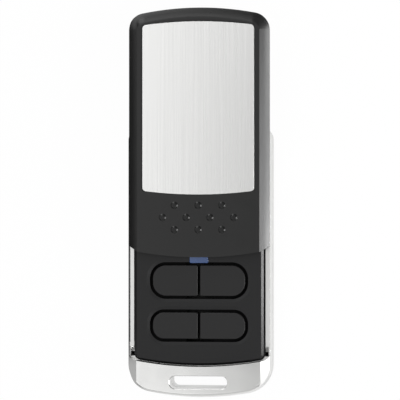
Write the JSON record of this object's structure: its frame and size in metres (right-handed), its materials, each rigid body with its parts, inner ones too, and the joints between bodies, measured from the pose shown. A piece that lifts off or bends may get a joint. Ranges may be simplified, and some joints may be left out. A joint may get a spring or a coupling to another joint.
{
  "type": "gate remote control",
  "caption": "Hand-held gate remote with a sliding cover over its keys, a metal frame with a key-ring slot and a coin-cell cap on the back.",
  "frame": {"origin": "centre of the case in plan, on its flat back", "axes": "+X to the right, +Y towards the upper end, +Z out of the front, towards the thumb"},
  "size_m": [0.038, 0.1013, 0.0133],
  "materials": {
    "chrome": "bright plated die casting",
    "black_plastic": "fine matt moulding",
    "cover_plastic": "satin moulding",
    "key_plastic": "smooth satin moulding",
    "brushed_aluminium": "brushed along its length, clear coated",
    "blue_window": "clear blue light pipe",
    "seal_rubber": "moulded",
    "screw_steel": "zinc plated",
    "contact_steel": "nickel plated strip",
    "runner_steel": "stainless strip",
    "board": "black solder mask",
    "chip": "moulded package",
    "switch_plastic": "moulded",
    "copper": "bare copper strip",
    "led": "clear moulded",
    "film": "adhesive film"
  },
  "bodies": {
    "case": {"chrome_frame": "chrome", "front_housing": "black_plastic", "rear_housing": "black_plastic", "case_seal": "seal_rubber", "case_screws": "screw_steel", "circuit_board": "board", "indicator_light": "led", "light_pipe": "blue_window", "controller_chip": "chip", "radio_chip": "chip", "crystal_can": "contact_steel", "board_parts": "chip", "loop_antenna": "copper", "coin_cell": "contact_steel", "negative_contact": "contact_steel", "positive_contact": "contact_steel", "detent_spring": "contact_steel", "upper_left_switch": "switch_plastic", "upper_right_switch": "switch_plastic", "lower_left_switch": "switch_plastic", "lower_right_switch": "switch_plastic"},
    "cover": {"slider_cover": "cover_plastic", "slider_inlay": "brushed_aluminium", "inlay_adhesive": "film", "left_runner": "runner_steel", "right_runner": "runner_steel"},
    "cap": {"battery_cap": "black_plastic", "cap_seal": "seal_rubber"},
    "key_upper_left": {"upper_left_key": "key_plastic", "upper_left_plunger": "switch_plastic"},
    "key_upper_right": {"upper_right_key": "key_plastic", "upper_right_plunger": "switch_plastic"},
    "key_lower_left": {"lower_left_key": "key_plastic", "lower_left_plunger": "switch_plastic"},
    "key_lower_right": {"lower_right_key": "key_plastic", "lower_right_plunger": "switch_plastic"}
  },
  "joints": [
    {"name": "cover_slide", "type": "slide", "parent": "case", "child": "cover", "axis": [0, -1, 0], "range_m": [0, 0.028]},
    {"name": "upper_left_press", "type": "slide", "parent": "case", "child": "key_upper_left", "axis": [0, 0, -1], "range_m": [0, 0.00045], "stiffness_N_per_m": 3500},
    {"name": "upper_right_press", "type": "slide", "parent": "case", "child": "key_upper_right", "axis": [0, 0, -1], "range_m": [0, 0.00045], "stiffness_N_per_m": 3500},
    {"name": "lower_left_press", "type": "slide", "parent": "case", "child": "key_lower_left", "axis": [0, 0, -1], "range_m": [0, 0.00045], "stiffness_N_per_m": 3500},
    {"name": "lower_right_press", "type": "slide", "parent": "case", "child": "key_lower_right", "axis": [0, 0, -1], "range_m": [0, 0.00045], "stiffness_N_per_m": 3500},
    {"name": "cap_twist", "type": "hinge", "parent": "case", "child": "cap", "pos_m": [0, 0.014, 0], "axis": [0, 0, -1], "range_deg": [0, 45]}
  ]
}
